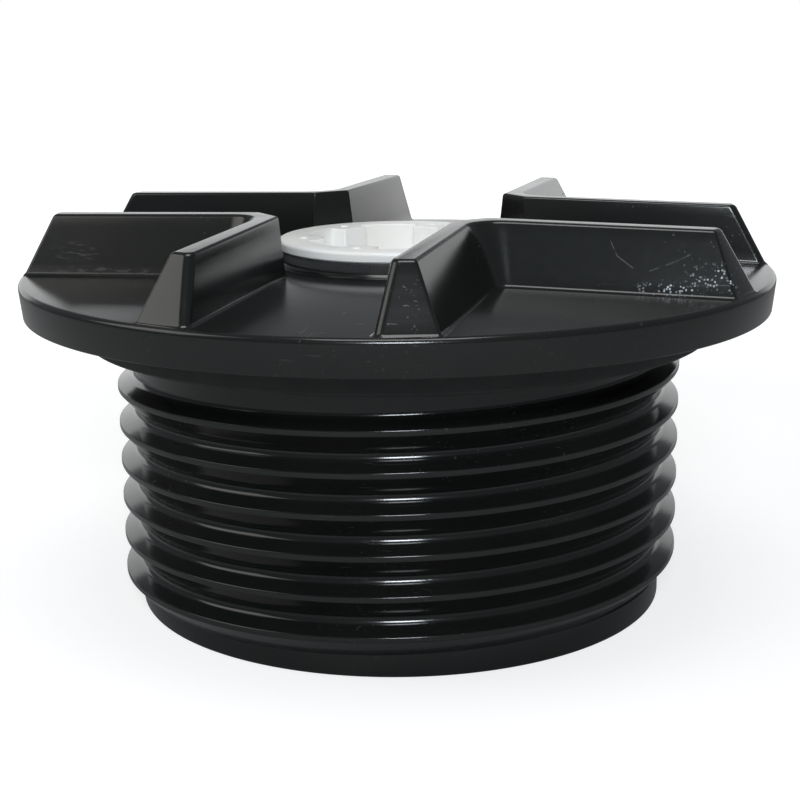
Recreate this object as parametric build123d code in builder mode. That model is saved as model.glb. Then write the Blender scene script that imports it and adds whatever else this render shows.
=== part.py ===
from build123d import *
import math
import os

# Screw-in tank lid: a moulded body with a coarse outer buttress thread and four V-shaped wrench lugs,
# its seal ring, and a two-inch closing plug with a seal of its own.
# The origin lies on the axis at the foot of the skirt, and +Z points up, out of the tank.
# The arms of the lugs run along X and Y. All sizes are in millimetres.

# Flange and deck
flange_radius = 110.0
flange_thickness = 9.9
flange_side_draft = 1.1
flange_edge_bevel = 1.1
deck_rise = 1.7
deck_wall = 7.0

# Skirt, measured down from the flange's underside
skirt_length = 87.6
neck_radius = 78.0
skirt_wall = 6.0
lead_ring_height = 7.6
lead_ring_step = 0.5

# Buttress thread on the skirt, right-handed: the steep flank faces up and bears on the tank's neck
thread_depth = 5.3
thread_pitch = 11.1
thread_crest = 1.5
thread_root = 2.1
thread_lower_flank = 5.7
thread_foot_gap = 0.4745
thread_foot_angle = 140.5
thread_runout_angle = 16.0
thread_to_seal_gap = 0.4

# Seal ring under the flange
lid_gasket_width = 13.5
lid_gasket_thickness = 8.4
lid_gasket_clearance = 0.3

# Wrench lugs: right-angled Vs that open towards the rim, one on each diagonal
lug_count = 4
lug_height = 17.0
lug_top_width = 6.2
lug_outer_draft = 1.9
lug_inner_draft = 7.7
lug_nose_gap = 5.8
lug_nose_width = 12.055
lug_nose_draft = 1.2
lug_corner_round_top = 9.0
lug_corner_round_foot = 4.0
lug_end_inset_top = 10.1
lug_end_inset_foot = 1.2
lug_top_rise = 1.3
lug_end_corner_bevel = 2.0
lug_edge_bevel = 0.7
lug_embed = 1.5

# Boss and hub for the plug
boss_margin = 0.4
boss_height = 1.2
boss_bevel = 0.8
hub_wall = 6.2
hub_past_plug = 9.6

# Plug: the shank is a plain cylinder at the size of its thread's crests
plug_thread_radius = 29.5
plug_thread_clearance = 0.3
plug_thread_length = 19.5
plug_head_overhang = 5.4
plug_head_thickness = 3.0
plug_head_bevel = 0.9
plug_wall = 2.7
plug_floor = 3.0

# Six tabs that stand into the plug's recess, each with a round pip on the head beside it
tab_count = 6
tab_depth = 5.5
tab_tip_width = 8.0
tab_root_width = 11.0
tab_first_angle = -98.5
pip_radius = 1.2
pip_height = 0.4
pip_offset = 0.5

# Seal under the plug's head
plug_gasket_inset = 0.3
plug_gasket_thickness = 3.1
plug_gasket_clearance = 0.3

# Heights that follow
flange_top = skirt_length + flange_thickness
deck_centre_height = flange_top + deck_rise
deck_underside = flange_top - deck_wall
boss_top = deck_centre_height + boss_height
lug_top = flange_top + lug_height
lid_gasket_foot = skirt_length - lid_gasket_thickness
plug_gasket_top = boss_top + plug_gasket_thickness
plug_head_top = plug_gasket_top + plug_head_thickness
plug_tip = plug_gasket_top - plug_thread_length
plug_recess_depth = plug_head_thickness + plug_thread_length - plug_floor
hub_foot = plug_tip - hub_past_plug

# Radii that follow
skirt_inner_radius = neck_radius - skirt_wall
lead_ring_radius = neck_radius + lead_ring_step
thread_crest_radius = neck_radius + thread_depth
lid_gasket_bore = neck_radius + lid_gasket_clearance
lid_gasket_radius = lid_gasket_bore + lid_gasket_width
bore_radius = plug_thread_radius + plug_thread_clearance
hub_radius = bore_radius + hub_wall
plug_head_radius = plug_thread_radius + plug_head_overhang
plug_gasket_radius = plug_head_radius - plug_gasket_inset
plug_recess_radius = plug_thread_radius - plug_wall
tab_tip_radius = plug_recess_radius - tab_depth
pip_reach = plug_recess_radius + pip_offset
boss_radius = plug_head_radius + boss_margin
lug_nose_reach = boss_radius + lug_nose_gap
lug_channel_width = math.sqrt(2) * (lug_nose_reach - lug_nose_width / 2)
lug_end_radius_top = flange_radius - lug_end_inset_top


def polar_point(radius, angle):
    """A point in plan at a radius and an angle in degrees."""
    return radius * math.cos(math.radians(angle)), radius * math.sin(math.radians(angle))


# The thread's ridge is a closed outline in the plane through the axis, sunk a little into the neck
ridge_sink = 1.0
sink_share = ridge_sink / thread_depth
thread_upper_flank = thread_pitch - thread_crest - thread_root - thread_lower_flank
ridge_upper = thread_crest / 2 + thread_upper_flank * (1 + sink_share)
ridge_lower = thread_crest / 2 + thread_lower_flank * (1 + sink_share)
turn_gap = thread_pitch - ridge_upper - ridge_lower
thread_foot_height = ridge_lower + thread_foot_gap
thread_top_height = lid_gasket_foot - thread_to_seal_gap - ridge_upper
thread_height = thread_top_height - thread_foot_height
thread_sweep = 360 * thread_height / thread_pitch
ramp_clearance = turn_gap * 3 / 4
ramp_foot_radius = neck_radius - ridge_sink / 2
ramp_top_radius = thread_crest_radius + ridge_sink / 2
ramp_outer_radius = thread_crest_radius + thread_pitch

with BuildPart() as thread:
    with BuildLine() as helix_line:
        Helix(pitch=thread_pitch, height=thread_height, radius=neck_radius)
    with BuildSketch(Plane.XZ) as ridge:
        with BuildLine():
            Polyline(
                (neck_radius - ridge_sink, -ridge_lower),
                (thread_crest_radius, -thread_crest / 2),
                (thread_crest_radius, thread_crest / 2),
                (neck_radius - ridge_sink, ridge_upper),
                close=True,
            )
        make_face()
    sweep(path=helix_line.wire(), is_frenet=True)
    # Each end runs out to the root along a flat ramp, cut clear of the turn beside it
    for end_angle, end_height, inward in ((0, 0, 1), (thread_sweep, thread_height, -1)):
        ramp_top_angle = end_angle + inward * thread_runout_angle
        past_end_angle = end_angle - inward * thread_runout_angle / 2
        with BuildSketch(Plane.XY.offset(end_height - ridge_lower - ramp_clearance)):
            with BuildLine():
                Polyline(
                    polar_point(ramp_foot_radius, end_angle),
                    polar_point(ramp_top_radius, ramp_top_angle),
                    polar_point(ramp_outer_radius, ramp_top_angle),
                    polar_point(ramp_outer_radius, past_end_angle),
                    polar_point(ramp_foot_radius, past_end_angle),
                    close=True,
                )
            make_face()
        extrude(amount=ridge_lower + ridge_upper + 2 * ramp_clearance, mode=Mode.SUBTRACT)


with BuildPart() as lug:
    # The V's outline at its foot and at its top, because both of its walls lean as they go up
    for rise in (-lug_embed, lug_height + lug_top_rise):
        up = rise / lug_height
        outer = lug_channel_width / 2 - lug_outer_draft * (1 - up)
        inner = lug_channel_width / 2 + lug_top_width + lug_inner_draft * (1 - up)
        nose = math.sqrt(2) * (lug_nose_reach - lug_nose_draft * (1 - up)) - outer
        corner_round = lug_corner_round_foot + (lug_corner_round_top - lug_corner_round_foot) * up
        past_rim = flange_radius + lug_top_width
        with BuildSketch(Plane.XY.offset(flange_top + rise)) as outline:
            with BuildLine():
                Polyline(
                    (nose, outer),
                    (past_rim, outer),
                    (past_rim, inner),
                    (inner, inner),
                    (inner, past_rim),
                    (outer, past_rim),
                    (outer, nose),
                    close=True,
                )
            make_face()
            fillet(outline.vertices().sort_by_distance((inner, inner))[0], radius=corner_round)
    loft(ruled=True)
    # The ends lie on a cone that leans in from the rim, and the top rises a little towards the nose
    with BuildSketch(Plane.XZ):
        end_slope = (lug_end_inset_top - lug_end_inset_foot) / lug_height
        with BuildLine():
            Polyline(
                (lug_nose_reach / 2, flange_top - lug_embed),
                (flange_radius - lug_end_inset_foot + end_slope * lug_embed, flange_top - lug_embed),
                (lug_end_radius_top, lug_top),
                (lug_nose_reach, lug_top + lug_top_rise),
                (lug_nose_reach / 2, lug_top + lug_top_rise),
                close=True,
            )
        make_face()
    revolve(axis=Axis.Z, mode=Mode.INTERSECT)
    end_edges = lug.edges().sort_by(SortBy.DISTANCE)[-6:]
    chamfer(end_edges.sort_by(Axis.Z)[:4], length=lug_end_corner_bevel)
    foot_edges = lug.edges().group_by(Axis.Z)[0]
    chamfer(lug.edges() - foot_edges, length=lug_edge_bevel)

with BuildPart() as lid_body:
    with BuildSketch(Plane.XZ) as section:
        with BuildLine():
            Polyline(
                (bore_radius, hub_foot),
                (bore_radius, boss_top),
                (boss_radius, boss_top),
                (boss_radius, deck_centre_height),
                (flange_radius, flange_top),
                (flange_radius - flange_side_draft, skirt_length),
                (neck_radius, skirt_length),
                (neck_radius, lead_ring_height),
                (lead_ring_radius, lead_ring_height),
                (lead_ring_radius, 0),
                (skirt_inner_radius, 0),
                (skirt_inner_radius, deck_underside),
                (hub_radius, deck_underside),
                (hub_radius, hub_foot),
                close=True,
            )
        make_face()
        for corner, bevel in (
            ((boss_radius, boss_top), boss_bevel),
            ((flange_radius, flange_top), flange_edge_bevel),
        ):
            chamfer(section.vertices().sort_by_distance(corner)[0], length=bevel)
    revolve(axis=Axis.Z)
    with PolarLocations(0, lug_count):
        add(lug.part)
    with Locations(Location((0, 0, thread_foot_height), (0, 0, thread_foot_angle))):
        add(thread.part)
lid_body.part.label = "lid_body"

with BuildPart() as lid_gasket:
    with BuildSketch(Plane.XZ):
        with BuildLine():
            Polyline(
                (lid_gasket_bore, skirt_length),
                (lid_gasket_radius, skirt_length),
                (lid_gasket_radius, lid_gasket_foot),
                (lid_gasket_bore, lid_gasket_foot),
                close=True,
            )
        make_face()
    revolve(axis=Axis.Z)
lid_gasket.part.label = "lid_gasket"

with BuildPart() as plug:
    with BuildSketch(Plane.XZ) as plug_section:
        with BuildLine():
            Polyline(
                (0, plug_tip),
                (plug_thread_radius, plug_tip),
                (plug_thread_radius, plug_gasket_top),
                (plug_head_radius, plug_gasket_top),
                (plug_head_radius, plug_head_top),
                (0, plug_head_top),
                close=True,
            )
        make_face()
        head_corner = plug_section.vertices().sort_by_distance((plug_head_radius, plug_head_top))[0]
        chamfer(head_corner, length=plug_head_bevel)
    revolve(axis=Axis.Z)
    with BuildSketch(Plane.XY.offset(plug_head_top)):
        Circle(plug_recess_radius)
        with PolarLocations(0, tab_count, start_angle=tab_first_angle):
            Polygon(
                (tab_tip_radius, -tab_tip_width / 2),
                (plug_recess_radius + pip_radius, -tab_root_width / 2),
                (plug_recess_radius + pip_radius, tab_root_width / 2),
                (tab_tip_radius, tab_tip_width / 2),
                align=None,
                mode=Mode.SUBTRACT,
            )
    extrude(amount=-plug_recess_depth, mode=Mode.SUBTRACT)
    with BuildSketch(Plane.XY.offset(plug_head_top)):
        with PolarLocations(pip_reach, tab_count, start_angle=tab_first_angle):
            Circle(pip_radius)
    extrude(amount=pip_height)
plug.part.label = "plug"

with BuildPart() as plug_gasket:
    with BuildSketch(Plane.XY.offset(boss_top)):
        Circle(plug_gasket_radius)
        Circle(plug_thread_radius + plug_gasket_clearance, mode=Mode.SUBTRACT)
    extrude(amount=plug_gasket_thickness)
plug_gasket.part.label = "plug_gasket"

os.makedirs("parts", exist_ok=True)
for piece in (lid_body, lid_gasket, plug, plug_gasket):
    export_step(piece.part, f"parts/{piece.part.label}.step")
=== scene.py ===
import math

import bmesh
import bpy
from mathutils import Matrix, Vector


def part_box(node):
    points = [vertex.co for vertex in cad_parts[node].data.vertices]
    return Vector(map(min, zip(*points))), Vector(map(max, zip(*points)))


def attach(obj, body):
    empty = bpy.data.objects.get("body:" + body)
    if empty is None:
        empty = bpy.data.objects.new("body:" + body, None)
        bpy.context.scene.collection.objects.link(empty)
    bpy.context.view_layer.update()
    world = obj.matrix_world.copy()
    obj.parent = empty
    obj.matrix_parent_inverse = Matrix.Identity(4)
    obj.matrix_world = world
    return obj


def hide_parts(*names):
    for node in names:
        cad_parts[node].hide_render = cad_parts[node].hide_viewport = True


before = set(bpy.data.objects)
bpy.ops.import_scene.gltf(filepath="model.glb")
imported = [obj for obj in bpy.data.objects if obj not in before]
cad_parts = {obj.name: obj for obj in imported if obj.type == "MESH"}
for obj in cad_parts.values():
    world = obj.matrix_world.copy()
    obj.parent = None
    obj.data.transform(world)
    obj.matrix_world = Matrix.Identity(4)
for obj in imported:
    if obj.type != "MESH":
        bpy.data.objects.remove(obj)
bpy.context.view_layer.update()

mm = 0.001

# Camera: it stands to the right of the front, and looks a little down
camera_turn = math.radians(15.5)
camera_heading = math.radians(15.45)
camera_reach = 481.4 * mm
camera_height = 172.4 * mm
camera_dip = math.radians(13.53)
camera_roll = math.radians(-0.65)
camera_lens = 73.7

# Heights that the frame gives
flange_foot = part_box("lid_gasket")[1].z
seal_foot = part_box("lid_gasket")[0].z
seal_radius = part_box("lid_gasket")[1].x
boss_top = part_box("plug_gasket")[0].z
plug_seal_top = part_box("plug_gasket")[1].z
plug_seal_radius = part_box("plug_gasket")[1].x
plug_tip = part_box("plug")[0].z

# Flange, deck and boss
flange_radius = 110.0 * mm
flange_thickness = 9.9 * mm
flange_side_draft = 1.1 * mm
flange_edge_round = 1.5 * mm
deck_rise = 1.7 * mm
deck_wall = 7.0 * mm
boss_radius = 35.3 * mm
boss_bevel = 0.8 * mm
boss_foot_round = 0.5 * mm

# Skirt and hub
neck_radius = 78.0 * mm
neck_foot_round = 1.0 * mm
skirt_wall = 6.0 * mm
inner_corner_round = 5.0 * mm
lead_ring_height = 7.6 * mm
lead_ring_step = 0.5 * mm
lead_ring_round = 0.7 * mm
bore_radius = 29.8 * mm
hub_radius = 36.0 * mm
hub_length = 26.0 * mm
hub_root_round = 3.0 * mm
small_round = 0.4 * mm

# Buttress thread
thread_depth = 5.3 * mm
thread_pitch = 11.1 * mm
thread_crest = 1.5 * mm
thread_upper_flank = 1.8 * mm
thread_lower_flank = 5.7 * mm
thread_crest_round = 0.45 * mm
thread_upper_root_round = 2.4 * mm
thread_lower_root_round = 0.6 * mm
thread_ridge_sink = 1.0 * mm
thread_foot_height = 8.0 * mm
thread_foot_angle = math.radians(140.5)
thread_runout_angle = math.radians(16)
thread_to_seal_gap = 0.4 * mm
thread_points_a_turn = 200

# Wrench lugs
lug_count = 4
lug_height = 17.0 * mm
lug_top_rise = 1.3 * mm
lug_channel_width = 49.6 * mm
lug_top_width = 6.2 * mm
lug_outer_draft = 1.9 * mm
lug_inner_draft = 7.7 * mm
lug_nose_reach = 41.1 * mm
lug_nose_draft = 1.2 * mm
lug_corner_round_top = 9.0 * mm
lug_corner_round_foot = 4.0 * mm
lug_end_inset_top = 10.1 * mm
lug_end_inset_foot = 1.2 * mm
lug_edge_round = 0.9 * mm
lug_nose_round = 0.8 * mm
lug_end_round_channel = 2.2 * mm
lug_end_round_inside = 1.0 * mm
lug_foot_round = 1.0 * mm
lug_foot_reach = flange_radius - 1.0 * mm

# Two-inch plug, its thread and the thread in the hub
plug_thread_radius = 29.5 * mm
plug_thread_pitch = 2.209 * mm
plug_thread_depth = 1.2 * mm
plug_thread_crest = 0.35 * mm
plug_thread_flank = 0.75 * mm
plug_thread_round = 0.1 * mm
plug_thread_runout = math.radians(25)
plug_thread_foot = 1.9 * mm
plug_thread_turns = 7.0
hub_thread_turns = 10.3
hub_thread_lower_by = 4.5
plug_thread_points_a_turn = 120
hub_thread_points_a_turn = 96
plug_head_radius = 34.9 * mm
plug_head_thickness = 3.0 * mm
plug_head_round = 1.1 * mm
plug_tip_round = 0.8 * mm
plug_recess_radius = 26.8 * mm
plug_recess_depth = 19.5 * mm
plug_recess_round = 0.35 * mm
tab_count = 6
tab_tip_radius = 21.3 * mm
tab_tip_width = 8.0 * mm
tab_root_width = 11.0 * mm
tab_root_reach = 28.0 * mm
tab_round = 0.7 * mm
tab_first_angle = math.radians(-98.5)
pip_radius = 1.2 * mm
pip_height = 0.4 * mm
pip_reach = 27.3 * mm
pip_points = 16

# Seal rings
seal_bore = 78.3 * mm
seal_round = 0.9 * mm
plug_seal_bore = 29.8 * mm
plug_seal_round = 0.3 * mm
rib_count = 300
rib_width = 0.5 * mm
rib_sides = 6

flange_top = flange_foot + flange_thickness
deck_centre_height = flange_top + deck_rise
lug_top = flange_top + lug_height
lug_end_radius_top = flange_radius - lug_end_inset_top
hub_foot = boss_top - hub_length
deck_underside = flange_top - deck_wall
skirt_inner_radius = neck_radius - skirt_wall
lead_ring_radius = neck_radius + lead_ring_step
plug_root_radius = plug_thread_radius - plug_thread_depth
plug_head_top = plug_seal_top + plug_head_thickness
plug_seal_core_radius = plug_seal_radius - rib_width / 2


def rounded(corners, closed=True, steps=5):
    """An outline's points. Its corners, given as (x, y, radius), are rounded by arcs with one count of points."""
    points = []
    count = len(corners)
    for i, (x, y, radius) in enumerate(corners):
        corner = Vector((x, y))
        if radius == 0 or (not closed and i in (0, count - 1)):
            points.append(corner)
            continue
        to_last = (Vector(corners[i - 1][:2]) - corner).normalized()
        to_next = (Vector(corners[(i + 1) % count][:2]) - corner).normalized()
        half_angle = to_last.angle(to_next) / 2
        centre = corner + (to_last + to_next).normalized() * radius / math.sin(half_angle)
        start = corner + to_last * radius / math.tan(half_angle) - centre
        turn = start.angle_signed(corner + to_next * radius / math.tan(half_angle) - centre)
        for k in range(steps + 1):
            points.append(centre + Matrix.Rotation(-turn * k / steps, 2) @ start)
    return points


def new_piece(name, verts, faces):
    mesh = bpy.data.meshes.new(name)
    mesh.from_pydata(verts, [], faces)
    piece = bpy.data.objects.new(name, mesh)
    bpy.context.scene.collection.objects.link(piece)
    return piece


def smooth(piece, angle=math.radians(32)):
    """Merges doubles, points the faces outwards and shades smooth, with sharp edges past the angle."""
    work = bmesh.new()
    work.from_mesh(piece.data)
    bmesh.ops.remove_doubles(work, verts=work.verts, dist=0.002 * mm)
    bmesh.ops.recalc_face_normals(work, faces=work.faces)
    work.to_mesh(piece.data)
    work.free()
    piece.data.shade_smooth()
    piece.data.set_sharp_from_angle(angle=angle)
    return piece


def turned(name, outline, steps=256):
    """A closed outline of (radius, height) turned round the axis."""
    verts = []
    faces = []
    count = len(outline)
    for k in range(steps):
        angle = 2 * math.pi * k / steps
        verts += [(r * math.cos(angle), r * math.sin(angle), z) for r, z in outline]
    for k in range(steps):
        a, b = k * count, (k + 1) % steps * count
        faces += [(a + i, b + i, b + (i + 1) % count, a + (i + 1) % count) for i in range(count)]
    return smooth(new_piece(name, verts, faces))


def joined(name, parts):
    with bpy.context.temp_override(active_object=parts[0], selected_editable_objects=parts):
        bpy.ops.object.join()
    parts[0].name = name
    return parts[0]


def deck_height(radius):
    """Height of the deck's cone at a radius."""
    share = (flange_radius - radius) / (flange_radius - boss_radius)
    return flange_top + deck_rise * min(max(share, 0), 1)


def lid_turning():
    """Flange, deck, boss, hub and skirt, without the thread and the lugs."""
    return turned("lid_turning", rounded([
        (bore_radius, hub_foot, small_round),
        (hub_radius, hub_foot, small_round),
        (hub_radius, deck_underside, hub_root_round),
        (skirt_inner_radius, deck_underside, inner_corner_round),
        (skirt_inner_radius, 0, small_round),
        (lead_ring_radius, 0, lead_ring_round),
        (lead_ring_radius, lead_ring_height, small_round / 2),
        (neck_radius, lead_ring_height, small_round / 2),
        (neck_radius, flange_foot, neck_foot_round),
        (flange_radius - flange_side_draft, flange_foot, small_round),
        (flange_radius, flange_top, flange_edge_round),
        (boss_radius, deck_centre_height, boss_foot_round),
        (boss_radius, boss_top - boss_bevel, small_round / 2),
        (boss_radius - boss_bevel, boss_top, small_round / 2),
        (bore_radius, boss_top, small_round),
    ]))


def lug_outline(height, grow):
    """The V's outline at a height, with its walls moved out by grow."""
    up = (height - flange_top) / lug_height
    outer = lug_channel_width / 2 - lug_outer_draft * (1 - up) - grow
    inner = lug_channel_width / 2 + lug_top_width + lug_inner_draft * (1 - up) + grow
    nose = math.sqrt(2) * (lug_nose_reach - lug_nose_draft * (1 - up) - grow) - outer
    corner_round = lug_corner_round_foot + (lug_corner_round_top - lug_corner_round_foot) * up - grow
    end_radius = flange_radius + grow - lug_end_inset_foot - (lug_end_inset_top - lug_end_inset_foot) * up
    end_outer = math.sqrt(end_radius**2 - outer**2)
    end_inner = math.sqrt(end_radius**2 - inner**2)
    nose_round = lug_nose_round + grow
    channel_round = lug_end_round_channel + grow
    inside_round = lug_end_round_inside + grow
    return rounded([
        (nose, outer, max(nose_round, small_round)),
        (end_outer, outer, max(channel_round, small_round)),
        (end_inner, inner, max(inside_round, small_round)),
        (inner, inner, corner_round),
        (inner, end_inner, max(inside_round, small_round)),
        (outer, end_outer, max(channel_round, small_round)),
        (outer, nose, max(nose_round, small_round)),
    ], steps=8)


def lug_row(rise_share, foot_turn, top_turn):
    """One ring of points round a lug: in the foot's round, on the walls, or in the top edge's round."""
    grow = lug_foot_round * (1 - math.sin(foot_turn)) - lug_edge_round * (1 - math.cos(top_turn))
    above_foot = lug_foot_round * (1 - math.cos(foot_turn))
    below_top = lug_edge_round * (1 - math.sin(top_turn))
    low = lug_outline(flange_top, grow)
    high = lug_outline(lug_top, grow)
    row = []
    for a, b in zip(low, high):
        foot_height = deck_height(a.length) + above_foot
        nearness = (lug_end_radius_top - b.length) / (lug_end_radius_top - lug_nose_reach)
        top_height = lug_top + lug_top_rise * min(max(nearness, 0), 1) - below_top
        height = foot_height + (top_height - foot_height) * rise_share
        place = a + (b - a) * (height - flange_top) / lug_height
        if place.length > lug_foot_reach:
            place *= lug_foot_reach / place.length
        row.append((place.x, place.y, height))
    return row


def stacked(name, rows):
    """Rings of points that lie one on the next, closed by a flat face at each end."""
    count = len(rows[0])
    verts = [tuple(point) for row in rows for point in row]
    faces = []
    for k in range(len(rows) - 1):
        for i in range(count):
            j = (i + 1) % count
            faces.append((k * count + i, k * count + j, (k + 1) * count + j, (k + 1) * count + i))
    faces.append(tuple(range((len(rows) - 1) * count, len(rows) * count)))
    faces.append(tuple(reversed(range(count))))
    return smooth(new_piece(name, verts, faces))


def wrench_lug(turn):
    """A V-shaped lug with rounded edges, and a round at its foot where it meets the deck."""
    upright = math.pi / 2
    foot_steps, wall_steps, edge_steps = 7, 6, 6
    rows = [lug_row(0, upright * k / foot_steps, 0) for k in range(foot_steps + 1)]
    rows += [lug_row(k / wall_steps, upright, 0) for k in range(1, wall_steps + 1)]
    rows += [lug_row(1, upright, upright * k / edge_steps) for k in range(1, edge_steps + 1)]
    rows.insert(0, [(x, y, z - lug_foot_round / 2) for x, y, z in rows[0]])
    turned_by = Matrix.Rotation(turn, 3, "Z")
    return stacked("lug", [[turned_by @ Vector(point) for point in row] for row in rows])


def on_circle(start, way, radius):
    """Where a line from start along way crosses a circle round the axis."""
    lead = start.dot(way) / way.length_squared
    return start + way * (math.sqrt(lead**2 - (start.length_squared - radius**2) / way.length_squared) - lead)


def recess_outline(grow):
    """The plug's recess in plan, round its six tabs, with its wall moved out by grow."""
    corners = []
    tip = Vector((tab_tip_radius + grow, tab_tip_width / 2 - grow))
    slope = Vector((tab_root_reach - tab_tip_radius, (tab_root_width - tab_tip_width) / 2))
    root = on_circle(tip, slope, plug_recess_radius + grow)
    root_angle = math.atan2(root.y, root.x)
    gap = 2 * math.pi / tab_count - 2 * root_angle
    gap_steps = 12
    # Plain points across each tab's tip keep the head's rim round, because its rings use the same directions
    tab = [(root, -1, tab_round), (tip, -1, tab_round)]
    tab += [(tip, third / 3, 0) for third in (-2, -1, 0, 1, 2)]
    tab += [(tip, 1, tab_round), (root, 1, tab_round)]
    for k in range(tab_count):
        middle = tab_first_angle + 2 * math.pi * k / tab_count
        for place, side, corner_round in tab:
            spot = Matrix.Rotation(middle, 2) @ Vector((place.x, place.y * side))
            corners.append((spot.x, spot.y, corner_round))
        for j in range(1, gap_steps):
            angle = middle + root_angle + gap * j / gap_steps
            wall = plug_recess_radius + grow
            corners.append((wall * math.cos(angle), wall * math.sin(angle), 0))
    return rounded(corners, steps=4)


def plug_moulding():
    """The plug without its thread: shank, head, recess with tabs, and a pip beside each tab."""
    plan = recess_outline(0)
    upright = math.pi / 2
    rim_steps, lip_steps = 6, 4

    def ring(radius, height):
        return [(*(point.normalized() * radius), height) for point in plan]

    def wall(grow, height):
        return [(*point, height) for point in recess_outline(grow)]

    recess_floor = plug_head_top - plug_recess_depth
    rows = [ring(plug_root_radius - plug_tip_round, plug_tip), ring(plug_root_radius, plug_tip + plug_tip_round)]
    rows += [ring(plug_root_radius, plug_seal_top), ring(plug_head_radius - small_round, plug_seal_top)]
    rows.append(ring(plug_head_radius, plug_seal_top + small_round))
    for k in range(rim_steps + 1):
        inward = plug_head_round * (1 - math.cos(upright * k / rim_steps))
        down = plug_head_round * (1 - math.sin(upright * k / rim_steps))
        rows.append(ring(plug_head_radius - inward, plug_head_top - down))
    rows.append(ring((plug_head_radius + plug_recess_radius) / 2, plug_head_top))
    for k in range(lip_steps + 1):
        outward = plug_recess_round * (1 - math.sin(upright * k / lip_steps))
        down = plug_recess_round * (1 - math.cos(upright * k / lip_steps))
        rows.append(wall(outward, plug_head_top - down))
    for k in range(lip_steps + 1):
        inward = plug_recess_round * (1 - math.cos(upright * k / lip_steps))
        up = plug_recess_round * (1 - math.sin(upright * k / lip_steps))
        rows.append(wall(-inward, recess_floor + up))
    parts = [stacked("plug_shell", rows)]
    dome = ((1, -0.25), (1, 0.5), (0.85, 0.825), (0.6, 0.9625), (0.3, 1))
    for k in range(tab_count):
        angle = tab_first_angle + 2 * math.pi * k / tab_count
        middle = Vector((math.cos(angle), math.sin(angle))) * pip_reach
        parts.append(stacked("pip", [[(
            middle.x + pip_radius * width_share * math.cos(2 * math.pi * i / pip_points),
            middle.y + pip_radius * width_share * math.sin(2 * math.pi * i / pip_points),
            plug_head_top + pip_height * height_share,
        ) for i in range(pip_points)] for width_share, height_share in dome]))
    return parts


class Nodes:
    """Adds nodes to a tree, and wires or sets their inputs."""

    def __init__(self, tree):
        self.tree = tree

    def node(self, kind, values=None, **settings):
        made = self.tree.nodes.new(kind)
        for key, value in settings.items():
            setattr(made, key, value)
        for key, value in (values or {}).items():
            if isinstance(value, bpy.types.NodeSocket):
                self.tree.links.new(value, made.inputs[key])
            else:
                made.inputs[key].default_value = value
        return made

    def math(self, operation, a, b=0.0, c=0.0):
        return self.node("ShaderNodeMath", {0: a, 1: b, 2: c}, operation=operation).outputs[0]

    def choice(self, kind, values):
        """One of several values, by the index of the point."""
        switch = self.tree.nodes.new("GeometryNodeIndexSwitch")
        switch.data_type = kind
        for _ in range(len(values) - 2):
            switch.index_switch_items.new()
        self.tree.links.new(self.tree.nodes.new("GeometryNodeInputIndex").outputs[0], switch.inputs["Index"])
        for k, value in enumerate(values):
            if isinstance(value, bpy.types.NodeSocket):
                self.tree.links.new(value, switch.inputs[str(k)])
            else:
                switch.inputs[str(k)].default_value = value
        return switch.outputs[0]


class Tree(Nodes):
    """A geometry tree with named inputs, a group input and a group output."""

    def __init__(self, name, sizes):
        super().__init__(bpy.data.node_groups.new(name, "GeometryNodeTree"))
        interface = self.tree.interface
        interface.new_socket("Geometry", in_out="INPUT", socket_type="NodeSocketGeometry")
        self.keys = {}
        for label, kind in sizes.items():
            socket = interface.new_socket(label, in_out="INPUT", socket_type=f"NodeSocket{kind}")
            self.keys[label] = socket.identifier
        interface.new_socket("Geometry", in_out="OUTPUT", socket_type="NodeSocketGeometry")
        self.inputs = self.node("NodeGroupInput").outputs

    def point(self, x, y):
        return self.node("ShaderNodeCombineXYZ", {"X": x, "Y": y}).outputs[0]

    def close(self, geometry):
        real = self.node("GeometryNodeRealizeInstances", {"Geometry": geometry}).outputs[0]
        done = self.node("GeometryNodeSetMaterial", {"Geometry": real, "Material": self.inputs["Material"]})
        self.node("NodeGroupOutput", {"Geometry": done.outputs[0]})
        return self

    def made(self, name, values):
        """The tree's result for these sizes, as a plain mesh."""
        carrier = new_piece(name, [], [])
        modifier = carrier.modifiers.new("tree", "NODES")
        modifier.node_group = self.tree
        for label, value in values.items():
            modifier[self.keys[label]] = value
        graph = bpy.context.evaluated_depsgraph_get()
        mesh = bpy.data.meshes.new_from_object(carrier.evaluated_get(graph), depsgraph=graph)
        carrier.modifiers.remove(modifier)
        carrier.data = mesh
        return carrier


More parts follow.
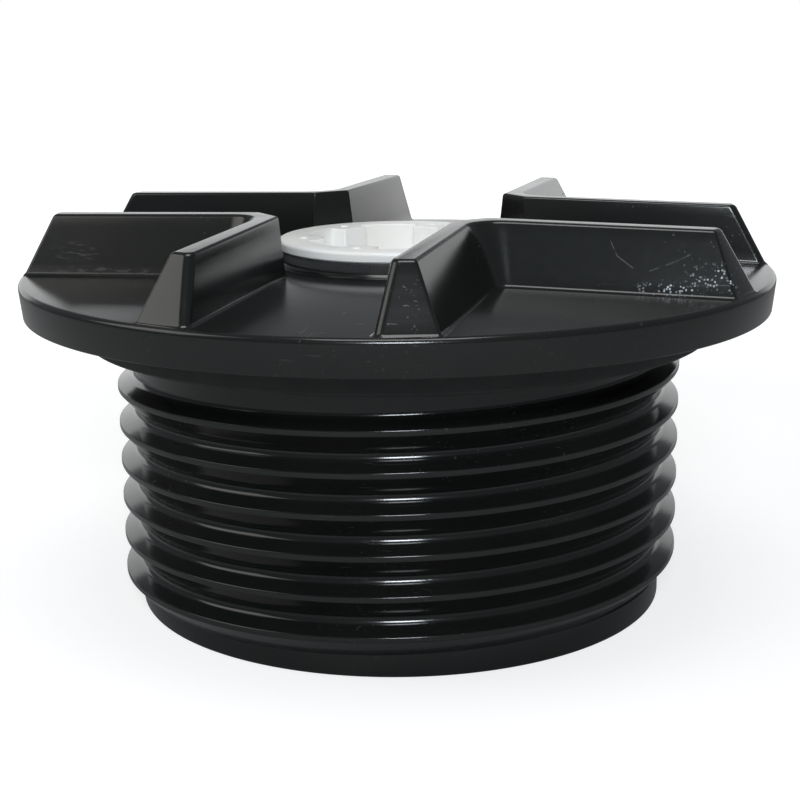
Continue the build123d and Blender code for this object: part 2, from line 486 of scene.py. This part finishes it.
def thread_tree():
    """A ridge on a helix that stands out or in from a root radius, and runs out to the root at both ends."""
    tree = Tree("thread_ridge", {
        "Root Radius": "Float", "Pitch": "Float", "Turns": "Float", "Depth": "Float", "Crest": "Float",
        "Upper Flank": "Float", "Lower Flank": "Float", "Crest Round": "Float", "Upper Root Round": "Float",
        "Lower Root Round": "Float", "Runout": "Float", "Points a Turn": "Int", "Material": "Material",
    })
    size = tree.inputs
    rise = tree.math("MULTIPLY", size["Pitch"], size["Turns"])
    helix = tree.node("GeometryNodeCurveSpiral", {
        "Resolution": size["Points a Turn"], "Rotations": size["Turns"], "Start Radius": size["Root Radius"],
        "End Radius": size["Root Radius"], "Height": rise, "Reverse": True,
    })
    along = tree.node("GeometryNodeSplineParameter").outputs["Factor"]
    marked = tree.node("GeometryNodeStoreNamedAttribute", {
        "Geometry": helix.outputs[0], "Name": "along", "Value": along,
    }, data_type="FLOAT", domain="POINT")
    upright = tree.node("GeometryNodeSetCurveNormal", {"Curve": marked.outputs[0]}, mode="Z_UP")
    # The profile's own X points out from the axis and its Y down, and its two ends dip a little under the root
    proud_share, under_share, upper_reach, corner_points = 0.012, -0.01, 1.1, 6
    half_crest = tree.math("MULTIPLY", size["Crest"], 0.5)
    foot = tree.math("ADD", size["Lower Flank"], half_crest)
    top = tree.math("MULTIPLY", tree.math("ADD", size["Upper Flank"], half_crest), -1)
    proud = tree.math("MULTIPLY", size["Depth"], proud_share)
    under = tree.math("MULTIPLY", size["Depth"], under_share)
    above = tree.math("MULTIPLY", size["Upper Root Round"], upper_reach)
    ridge = tree.choice("VECTOR", [
        tree.point(under, tree.math("ADD", foot, size["Crest"])),
        tree.point(proud, foot),
        tree.point(size["Depth"], half_crest),
        tree.point(size["Depth"], tree.math("MULTIPLY", half_crest, -1)),
        tree.point(proud, top),
        tree.point(under, tree.math("SUBTRACT", top, above)),
    ])
    rounds = tree.choice("FLOAT", [
        0.0, size["Lower Root Round"], size["Crest Round"], size["Crest Round"], size["Upper Root Round"], 0.0,
    ])
    ring = tree.node("GeometryNodeCurvePrimitiveCircle", {"Resolution": 6, "Radius": 0.001})
    profile = tree.node("GeometryNodeSetPosition", {"Geometry": ring.outputs[0], "Position": ridge})
    softened = tree.node("GeometryNodeFilletCurve", {
        "Curve": profile.outputs[0], "Radius": rounds, "Count": corner_points,
    }, mode="POLY")
    swept = tree.node("GeometryNodeCurveToMesh", {
        "Curve": upright.outputs[0], "Profile Curve": softened.outputs[0], "Fill Caps": True,
    })
    # Towards each end the ridge is cut down to a ramp, which ends a little under the root
    end_sink = 0.1
    reading = tree.node("GeometryNodeInputNamedAttribute", {"Name": "along"}, data_type="FLOAT").outputs[0]
    from_end = tree.math("MINIMUM", reading, tree.math("SUBTRACT", 1.0, reading))
    ramp_share = tree.math("DIVIDE", from_end, size["Runout"])
    clipped = tree.math("MINIMUM", tree.math("MAXIMUM", ramp_share, 0.0), 1.0)
    place = tree.node("GeometryNodeInputPosition").outputs[0]
    parts = tree.node("ShaderNodeSeparateXYZ", {0: place}).outputs
    flat = tree.point(parts["X"], parts["Y"])
    radius = tree.node("ShaderNodeVectorMath", {0: flat}, operation="LENGTH").outputs["Value"]
    stand = tree.math("SUBTRACT", radius, size["Root Radius"])
    direction = tree.math("SIGN", size["Depth"])
    outward = tree.math("MULTIPLY", stand, direction)
    span = tree.math("ABSOLUTE", size["Depth"])
    climb = tree.math("MULTIPLY", clipped, 1 + end_sink)
    limit = tree.math("MULTIPLY_ADD", climb, span, tree.math("MULTIPLY", span, -end_sink))
    kept = tree.math("MULTIPLY", tree.math("MINIMUM", outward, limit), direction)
    factor = tree.math("DIVIDE", tree.math("ADD", kept, size["Root Radius"]), radius)
    scaled = tree.node("ShaderNodeVectorMath", {0: flat, "Scale": factor}, operation="SCALE").outputs[0]
    new_parts = tree.node("ShaderNodeSeparateXYZ", {0: scaled}).outputs
    new_place = tree.node("ShaderNodeCombineXYZ", {"X": new_parts["X"], "Y": new_parts["Y"], "Z": parts["Z"]})
    moved = tree.node("GeometryNodeSetPosition", {"Geometry": swept.outputs[0], "Position": new_place.outputs[0]})
    return tree.close(moved.outputs[0])


def rib_ring_tree():
    """Short upright ribs in a ring."""
    tree = Tree("rib_ring", {
        "Radius": "Float", "Count": "Int", "Width": "Float", "Height": "Float", "Material": "Material",
    })
    size = tree.inputs
    ring = tree.node("GeometryNodeCurvePrimitiveCircle", {"Resolution": size["Count"], "Radius": size["Radius"]})
    rib = tree.node("GeometryNodeMeshCylinder", {
        "Vertices": rib_sides, "Radius": tree.math("MULTIPLY", size["Width"], 0.5), "Depth": size["Height"],
    })
    ribs = tree.node("GeometryNodeInstanceOnPoints", {"Points": ring.outputs[0], "Instance": rib.outputs[0]})
    return tree.close(ribs.outputs[0])


class Finish(Nodes):
    """A material whose patterns lie on Object coordinates."""

    def __init__(self, name, colour):
        self.material = bpy.data.materials.new(name)
        self.material.use_nodes = True
        super().__init__(self.material.node_tree)
        self.shader = self.tree.nodes["Principled BSDF"]
        self.place = self.node("ShaderNodeTexCoord").outputs["Object"]
        self.colour = (*colour, 1)
        self.normal = None

    def vector(self, operation, a, b):
        made = self.node("ShaderNodeVectorMath", {0: a, 1: b}, operation=operation)
        return made.outputs["Value" if operation in ("DOT_PRODUCT", "DISTANCE", "LENGTH") else "Vector"]

    def noise(self, scale, detail=2.0, place=None):
        return self.node("ShaderNodeTexNoise", {
            "Vector": place or self.place, "Scale": scale, "Detail": detail,
        }).outputs[0]

    def cells(self, scale):
        return self.node("ShaderNodeTexVoronoi", {"Vector": self.place, "Scale": scale}).outputs

    def ramp(self, value, start, end):
        """0 where the value is at start, and 1 at end."""
        return self.node("ShaderNodeMapRange", {"Value": value, "From Min": start, "From Max": end}).outputs["Result"]

    def all_of(self, *masks):
        product = masks[0]
        for mask in masks[1:]:
            product = self.math("MULTIPLY", product, mask)
        return product

    def stretched(self, turn, scale):
        return self.node("ShaderNodeMapping", {
            "Vector": self.place, "Rotation": turn, "Scale": scale,
        }).outputs[0]

    def rings(self, scale):
        """Noise that depends on the distance from the axis and the height alone."""
        parts = self.node("ShaderNodeSeparateXYZ", {0: self.place}).outputs
        flat = self.node("ShaderNodeCombineXYZ", {"X": parts["X"], "Y": parts["Y"]}).outputs[0]
        radius = self.vector("LENGTH", flat, (0, 0, 0))
        return self.noise(scale, 3, self.node("ShaderNodeCombineXYZ", {"X": radius, "Z": parts["Z"]}).outputs[0])

    def stripe(self, start, end, width):
        """1 on a thin line between two places, given in millimetres."""
        first, last = Vector(start) * mm, Vector(end) * mm
        way = last - first
        from_start = self.vector("SUBTRACT", self.place, first)
        share = self.math("DIVIDE", self.vector("DOT_PRODUCT", from_start, way), way.length_squared)
        clipped = self.math("MINIMUM", self.math("MAXIMUM", share, 0.0), 1.0)
        nearest = self.node("ShaderNodeVectorMath", {0: way, "Scale": clipped}, operation="SCALE").outputs[0]
        return self.ramp(self.vector("DISTANCE", from_start, nearest), width, width / 2)

    def patch(self, middle, reach):
        """1 at a place, given in millimetres, that falls to 0 at its reach along each axis."""
        offset = self.vector("SUBTRACT", self.place, Vector(middle) * mm)
        share = self.vector("DIVIDE", offset, Vector(reach) * mm)
        return self.ramp(self.vector("LENGTH", share, (0, 0, 0)), 1.0, 0.35)

    def stain(self, mask, colour, strength=1.0):
        mix = self.tree.nodes.new("ShaderNodeMix")
        mix.data_type = "RGBA"
        self.tree.links.new(self.math("MULTIPLY", mask, strength), mix.inputs[0])
        if isinstance(self.colour, bpy.types.NodeSocket):
            self.tree.links.new(self.colour, mix.inputs[6])
        else:
            mix.inputs[6].default_value = self.colour
        mix.inputs[7].default_value = (*colour, 1)
        self.colour = mix.outputs[2]

    def relief(self, height, distance, strength=1.0):
        values = {"Height": height, "Distance": distance, "Strength": strength}
        if self.normal:
            values["Normal"] = self.normal
        self.normal = self.node("ShaderNodeBump", values).outputs[0]

    def close(self, roughness):
        self.tree.links.new(self.colour, self.shader.inputs["Base Color"])
        self.tree.links.new(roughness, self.shader.inputs["Roughness"])
        self.tree.links.new(self.normal, self.shader.inputs["Normal"])
        return self.material


def marks(black):
    """Scratches and painted glints (pale specks painted on a rough spot) on the front right lug, and light scuffs on
    the front left one.
    """
    faint_grey, pale_grey, painted_glint_white = (0.15, 0.15, 0.15), (0.06, 0.075, 0.075), (0.62, 0.66, 0.7)
    broken = black.ramp(black.noise(700, 2), 0.4, 0.5)
    scratches = black.math(
        "MAXIMUM",
        black.stripe((67.7, -32.4, 111.4), (69.9, -34.2, 107.5), 0.16 * mm),
        black.stripe((69.9, -34.2, 107.5), (74.3, -35.5, 104.6), 0.2 * mm),
    )
    black.stain(black.all_of(scratches, broken), faint_grey, 0.5)
    pale_line = black.math(
        "MAXIMUM",
        black.stripe((78.8, -35.8, 104.0), (84.4, -34.8, 106.1), 0.3 * mm),
        black.stripe((84.4, -34.8, 106.1), (88.9, -33.8, 108.2), 0.3 * mm),
    )
    black.stain(black.all_of(pale_line, broken), pale_grey, 0.6)
    # Painted glints: pale bluish specks in the base colour on a rough spot of the front right lug stand in for
    # highlights. They are painted light, not a colour of the plastic.
    glint_spot = black.math(
        "MAXIMUM", black.patch((85, -37.9, 99.8), (11, 3, 2.6)), black.patch((97, -36.2, 102.5), (10, 3, 5.5)),
    )
    glint_cells = black.cells(1250)
    glint_pick = black.ramp(black.node("ShaderNodeSeparateColor", {0: glint_cells["Color"]}).outputs[0], 0.3, 0.4)
    glint_dots = black.ramp(glint_cells["Distance"], 0.46, 0.24)
    painted_glints = black.all_of(glint_spot, glint_dots, glint_pick, black.ramp(black.noise(420, 2), 0.4, 0.55))
    black.stain(painted_glints, painted_glint_white, 0.8)
    left_lug = black.math(
        "MAXIMUM", black.patch((-86, -35.5, 104.5), (10, 3, 4)), black.patch((-76, -38, 99.4), (26, 3, 1.6)),
    )
    streaks = black.ramp(black.noise(1.0, 3, black.stretched((0, 0.35, 0), (260, 900, 1500))), 0.52, 0.66)
    lug_scuffs = black.all_of(left_lug, streaks)
    black.stain(lug_scuffs, (0.045, 0.05, 0.045), 0.4)
    return lug_scuffs


def black_plastic():
    """Semi-gloss moulded plastic: a fine grain, faint flow rings, slow waves, scuffs and specks of dust."""
    black = Finish("lid_black", (0.0072, 0.0082, 0.0078))
    warm_black, scuff_grey, dust_grey = (0.0115, 0.011, 0.0098), (0.06, 0.062, 0.062), (0.14, 0.14, 0.13)
    black.stain(black.ramp(black.noise(26, 3), 0.42, 0.68), warm_black, 0.7)
    flow = black.rings(420)
    patches = black.ramp(black.noise(31, 2), 0.5, 0.64)
    fine_one = black.ramp(black.noise(1.0, 1, black.stretched((0.2, 0.1, 0.5), (45, 1300, 1300))), 0.7, 0.76)
    fine_two = black.ramp(black.noise(1.0, 1, black.stretched((0.4, 0.7, -0.9), (1100, 60, 1100))), 0.7, 0.76)
    scuffs = black.all_of(black.math("MAXIMUM", fine_one, fine_two), patches)
    black.stain(scuffs, scuff_grey, 0.3)
    specks = black.ramp(black.cells(430)["Distance"], 0.11, 0.05)
    black.stain(black.all_of(specks, black.ramp(black.noise(47, 2), 0.61, 0.7)), dust_grey, 0.2)
    lug_scuffs = marks(black)
    black.relief(black.noise(34, 1), 0.12 * mm, 0.5)
    black.relief(flow, 0.012 * mm, 0.6)
    black.relief(black.noise(2600, 2), 0.012 * mm, 0.45)
    # The skirt and its thread are glossier than the handled top
    skirt_roughness, handled_more, noise_more, flow_more, scuffs_more = 0.065, 0.05, 0.08, 0.05, 0.2
    height = black.node("ShaderNodeSeparateXYZ", {0: black.place}).outputs["Z"]
    rough = black.math("MULTIPLY_ADD", black.ramp(height, 78 * mm, 100 * mm), handled_more, skirt_roughness)
    rough = black.math("MULTIPLY_ADD", black.noise(19, 3), noise_more, rough)
    rough = black.math("MULTIPLY_ADD", flow, flow_more, rough)
    return black.close(black.math("MULTIPLY_ADD", black.math("MAXIMUM", scuffs, lug_scuffs), scuffs_more, rough))


def seal_rubber(name, colour, bloom):
    """Matt rubber with a fine grain and a dusty bloom."""
    rubber = Finish(name, colour)
    rubber.stain(rubber.ramp(rubber.noise(95, 4), 0.45, 0.7), bloom, 0.7)
    rubber.stain(rubber.ramp(rubber.cells(520)["Distance"], 0.1, 0.04), (0.12, 0.12, 0.115), 0.4)
    rubber.relief(rubber.noise(1700, 3), 0.03 * mm, 0.6)
    return rubber.close(rubber.math("MULTIPLY_ADD", rubber.noise(60, 2), 0.16, 0.5))


def white_plastic():
    """Satin white plastic that has yellowed a little in places."""
    white = Finish("plug_white", (0.88, 0.875, 0.855))
    white.stain(white.ramp(white.noise(40, 3), 0.42, 0.72), (0.82, 0.79, 0.71), 0.5)
    white.stain(white.ramp(white.cells(600)["Distance"], 0.07, 0.03), (0.42, 0.4, 0.36), 0.35)
    white.relief(white.noise(60, 1), 0.05 * mm, 0.4)
    white.relief(white.noise(2300, 2), 0.008 * mm, 0.4)
    return white.close(white.math("MULTIPLY_ADD", white.noise(35, 2), 0.14, 0.27))


lid_black = black_plastic()
seal_black = seal_rubber("seal_black", (0.0115, 0.012, 0.0118), (0.021, 0.021, 0.02))
ribbed_black = seal_rubber("ribbed_black", (0.032, 0.032, 0.034), (0.052, 0.05, 0.048))
plug_white = white_plastic()


def finished(piece, material, node, body):
    """Gives a piece its material, and stands it in for its CAD node."""
    piece.data.materials.clear()
    piece.data.materials.append(material)
    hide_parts(node)
    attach(piece, body)


# Lid, with the thread in its hub half a pitch out of step with the plug's
ridge_tree = thread_tree()
thread_half_top = thread_crest / 2 + thread_upper_flank * (1 + thread_ridge_sink / thread_depth)
thread_height = seal_foot - thread_to_seal_gap - thread_half_top - thread_foot_height
thread_turns = thread_height / thread_pitch
buttress = ridge_tree.made("buttress_thread", {
    "Root Radius": neck_radius, "Pitch": thread_pitch, "Turns": thread_turns, "Depth": thread_depth,
    "Crest": thread_crest, "Upper Flank": thread_upper_flank, "Lower Flank": thread_lower_flank,
    "Crest Round": thread_crest_round, "Upper Root Round": thread_upper_root_round,
    "Lower Root Round": thread_lower_root_round,
    "Runout": thread_runout_angle / (2 * math.pi * thread_turns), "Points a Turn": thread_points_a_turn,
    "Material": lid_black,
})
buttress.data.transform(Matrix.Translation((0, 0, thread_foot_height)) @ Matrix.Rotation(thread_foot_angle, 4, "Z"))
fine_thread = {
    "Pitch": plug_thread_pitch, "Crest": plug_thread_crest, "Upper Flank": plug_thread_flank,
    "Lower Flank": plug_thread_flank, "Crest Round": plug_thread_round, "Upper Root Round": plug_thread_round,
    "Lower Root Round": plug_thread_round,
}
hub_thread = ridge_tree.made("hub_thread", {
    **fine_thread, "Root Radius": bore_radius, "Turns": hub_thread_turns, "Depth": -plug_thread_depth,
    "Runout": plug_thread_runout / (2 * math.pi * hub_thread_turns), "Points a Turn": hub_thread_points_a_turn,
    "Material": lid_black,
})
plug_thread_start = plug_tip + plug_thread_foot
hub_thread_start = plug_thread_start - hub_thread_lower_by * plug_thread_pitch
hub_thread.data.transform(Matrix.Translation((0, 0, hub_thread_start)))
lugs = [wrench_lug(2 * math.pi * k / lug_count) for k in range(lug_count)]
lid = joined("lid_moulding", [lid_turning(), smooth(buttress), smooth(hub_thread), *lugs])
finished(lid, lid_black, "lid_body", "lid")

# Seal ring under the flange
lid_seal = turned("lid_seal", rounded([
    (seal_bore, flange_foot, small_round), (seal_bore, seal_foot, small_round),
    (seal_radius, seal_foot, seal_round), (seal_radius, flange_foot, small_round),
]))
finished(lid_seal, seal_black, "lid_gasket", "lid")

# Plug
plug_thread = ridge_tree.made("plug_thread", {
    **fine_thread, "Root Radius": plug_root_radius, "Turns": plug_thread_turns, "Depth": plug_thread_depth,
    "Runout": plug_thread_runout / (2 * math.pi * plug_thread_turns), "Points a Turn": plug_thread_points_a_turn,
    "Material": plug_white,
})
plug_thread.data.transform(Matrix.Translation((0, 0, plug_thread_start)))
plug = joined("plug_moulding", [*plug_moulding(), smooth(plug_thread)])
finished(plug, plug_white, "plug", "plug")

# Ribbed seal under the plug's head
ribs = rib_ring_tree().made("seal_ribs", {
    "Radius": plug_seal_core_radius, "Count": rib_count, "Width": rib_width,
    "Height": plug_seal_top - boss_top - 4 * plug_seal_round, "Material": ribbed_black,
})
ribs.data.transform(Matrix.Translation((0, 0, (plug_seal_top + boss_top) / 2)))
seal_ring = turned("seal_ring", rounded([
    (plug_seal_bore, boss_top, plug_seal_round), (plug_seal_core_radius, boss_top, plug_seal_round),
    (plug_seal_core_radius, plug_seal_top, plug_seal_round), (plug_seal_bore, plug_seal_top, plug_seal_round),
]), steps=rib_count)
plug_seal = joined("plug_seal_ring", [seal_ring, smooth(ribs)])
finished(plug_seal, ribbed_black, "plug_gasket", "plug_seal")


def place_camera():
    data = bpy.data.cameras.new("camera")
    data.lens = camera_lens
    data.sensor_width = 36
    data.clip_start = 0.01
    camera = bpy.data.objects.new("camera", data)
    bpy.context.scene.collection.objects.link(camera)
    stand = Vector((math.sin(camera_turn) * camera_reach, -math.cos(camera_turn) * camera_reach, camera_height))
    look = Matrix.Rotation(camera_heading, 4, "Z") @ Matrix.Rotation(math.pi / 2 - camera_dip, 4, "X")
    camera.matrix_world = Matrix.Translation(stand) @ look @ Matrix.Rotation(camera_roll, 4, "Z")
    bpy.context.scene.camera = camera


def softbox(name, turn, elevation, distance, width, height, radiance, colour=(1, 1, 1)):
    """A lamp that faces the lid. Its turn, in degrees, is from the camera's side to the right."""
    data = bpy.data.lights.new(name, "AREA")
    data.shape = "RECTANGLE"
    data.size = width
    data.size_y = height
    data.color = colour
    data.energy = radiance * math.pi * width * height
    lamp = bpy.data.objects.new(name, data)
    bpy.context.scene.collection.objects.link(lamp)
    heading, climb = camera_turn + math.radians(turn), math.radians(elevation)
    away = Vector((math.sin(heading) * math.cos(climb), -math.cos(heading) * math.cos(climb), math.sin(climb)))
    lamp.location = away * distance + Vector((0, 0, flange_foot))
    lamp.rotation_mode = "QUATERNION"
    lamp.rotation_quaternion = away.to_track_quat("Z", "Y")


def light_the_room():
    softbox("ceiling", turn=0, elevation=80, distance=1.5, width=0.8, height=0.6, radiance=4.8)
    softbox(
        "left_window", turn=-82, elevation=37, distance=1.3, width=0.8, height=0.7, radiance=1.9,
        colour=(1, 0.97, 0.92),
    )
    softbox(
        "front_lamp", turn=0, elevation=27, distance=1.5, width=0.36, height=0.32, radiance=36,
        colour=(0.88, 0.94, 1),
    )
    softbox("back_paper", turn=180, elevation=3, distance=1.4, width=2.6, height=0.8, radiance=0.9)
    world = bpy.data.worlds.new("room")
    bpy.context.scene.world = world
    world.use_nodes = True
    sky = Nodes(world.node_tree)
    nodes = world.node_tree.nodes
    nodes["Background"].inputs["Color"].default_value = (0.155, 0.165, 0.175, 1)
    # The paper behind is white where the camera sees it past the lid; the black plastic reflects the dim room
    paper = sky.node("ShaderNodeBackground", {"Color": (1, 1, 1, 1)})
    path = nodes.new("ShaderNodeLightPath").outputs
    seen = sky.math("MAXIMUM", path["Is Camera Ray"], path["Is Transmission Ray"])
    mix = sky.node("ShaderNodeMixShader", {0: seen, 1: nodes["Background"].outputs[0], 2: paper.outputs[0]})
    world.node_tree.links.new(mix.outputs[0], nodes["World Output"].inputs["Surface"])


def lay_floor():
    """A sheet of pale paper, which gets white towards its edge, so that it meets the background without a line."""
    reach, shade, near_glow, far_glow = 12, (0.42, 0.42, 0.42), 0.7, 1.0
    outline = [(-reach, -reach, 0), (reach, -reach, 0), (reach, reach, 0), (-reach, reach, 0)]
    floor = new_piece("floor", outline, [(0, 1, 2, 3)])
    paper = Finish("pale_floor", shade)
    far = paper.ramp(paper.vector("LENGTH", paper.place, (0, 0, 0)), 0.3, 0.75)
    grey = paper.node("ShaderNodeBsdfDiffuse", {"Color": paper.colour}).outputs[0]
    brightness = paper.math("MULTIPLY_ADD", far, far_glow - near_glow, near_glow)
    glow = paper.node("ShaderNodeEmission", {"Strength": brightness}).outputs[0]
    both = paper.node("ShaderNodeAddShader", {0: grey, 1: glow}).outputs[0]
    path = paper.node("ShaderNodeLightPath").outputs
    mix = paper.node("ShaderNodeMixShader", {0: path["Is Camera Ray"], 1: grey, 2: both}).outputs[0]
    nodes = paper.tree.nodes
    nodes.remove(paper.shader)
    paper.tree.links.new(mix, nodes["Material Output"].inputs["Surface"])
    floor.data.materials.append(paper.material)


place_camera()
light_the_room()
lay_floor()
bpy.context.scene.view_settings.view_transform = "Standard"
